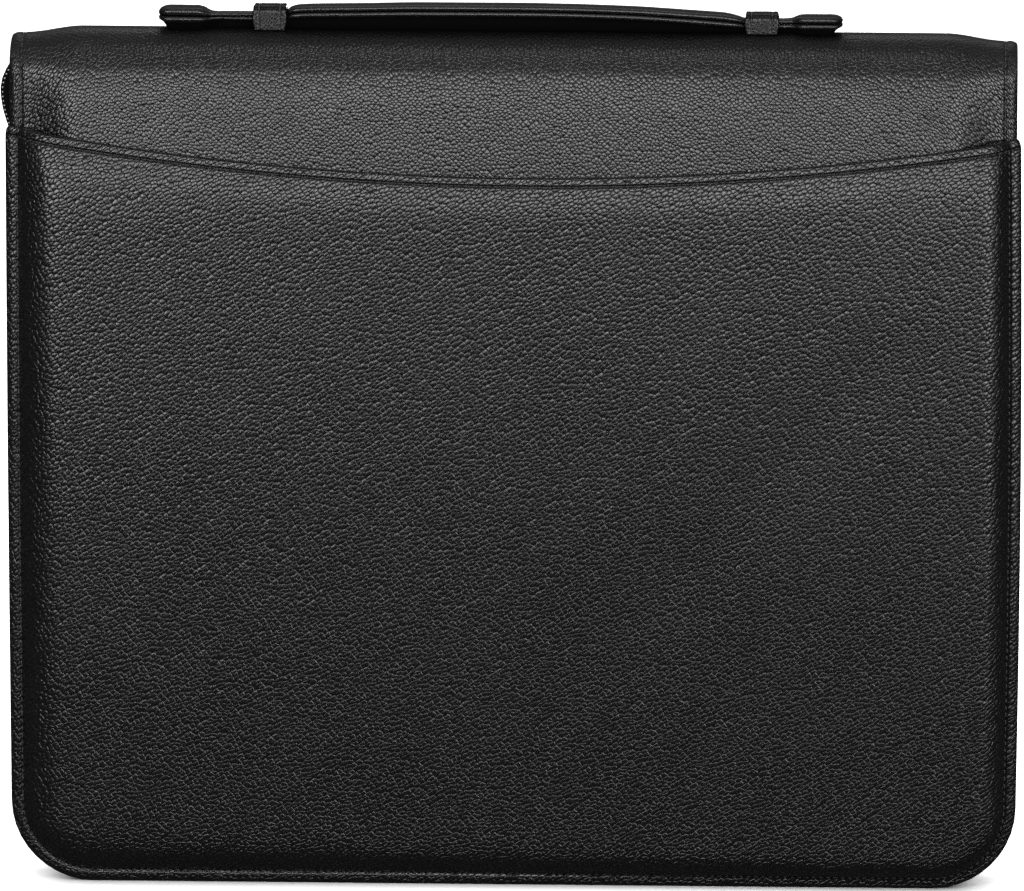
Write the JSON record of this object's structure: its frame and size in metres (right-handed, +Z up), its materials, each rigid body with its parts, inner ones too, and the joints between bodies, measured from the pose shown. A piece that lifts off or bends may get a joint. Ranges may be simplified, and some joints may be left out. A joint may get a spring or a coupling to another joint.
{
  "type": "briefcase",
  "caption": "Slim black leather zip-round document briefcase with a padded spine, a sliding strap handle in leather loops and a front slip pocket with a curved hem.",
  "frame": {"origin": "middle of the bounding box, on the floor that the case stands on", "axes": "+X to the right along the spine, +Y from the pocket side to the back, +Z up to the handle"},
  "size_m": [0.363, 0.0454, 0.3168],
  "materials": {
    "leather": "pebbled, semi-gloss",
    "handle_leather": "smooth, painted edges",
    "zip_tape": "woven",
    "zip_coil": "satin",
    "slider_metal": "black enamel"
  },
  "bodies": {
    "root": {"cover": "leather", "front_pocket": "leather", "handle_lower": "handle_leather", "handle_upper": "handle_leather", "handle_loop_left": "leather", "handle_loop_right": "leather", "zip_tape_front": "zip_tape", "zip_tape_back": "zip_tape", "zip_chain": "zip_coil", "zip_slider": "slider_metal"}
  },
  "joints": []
}
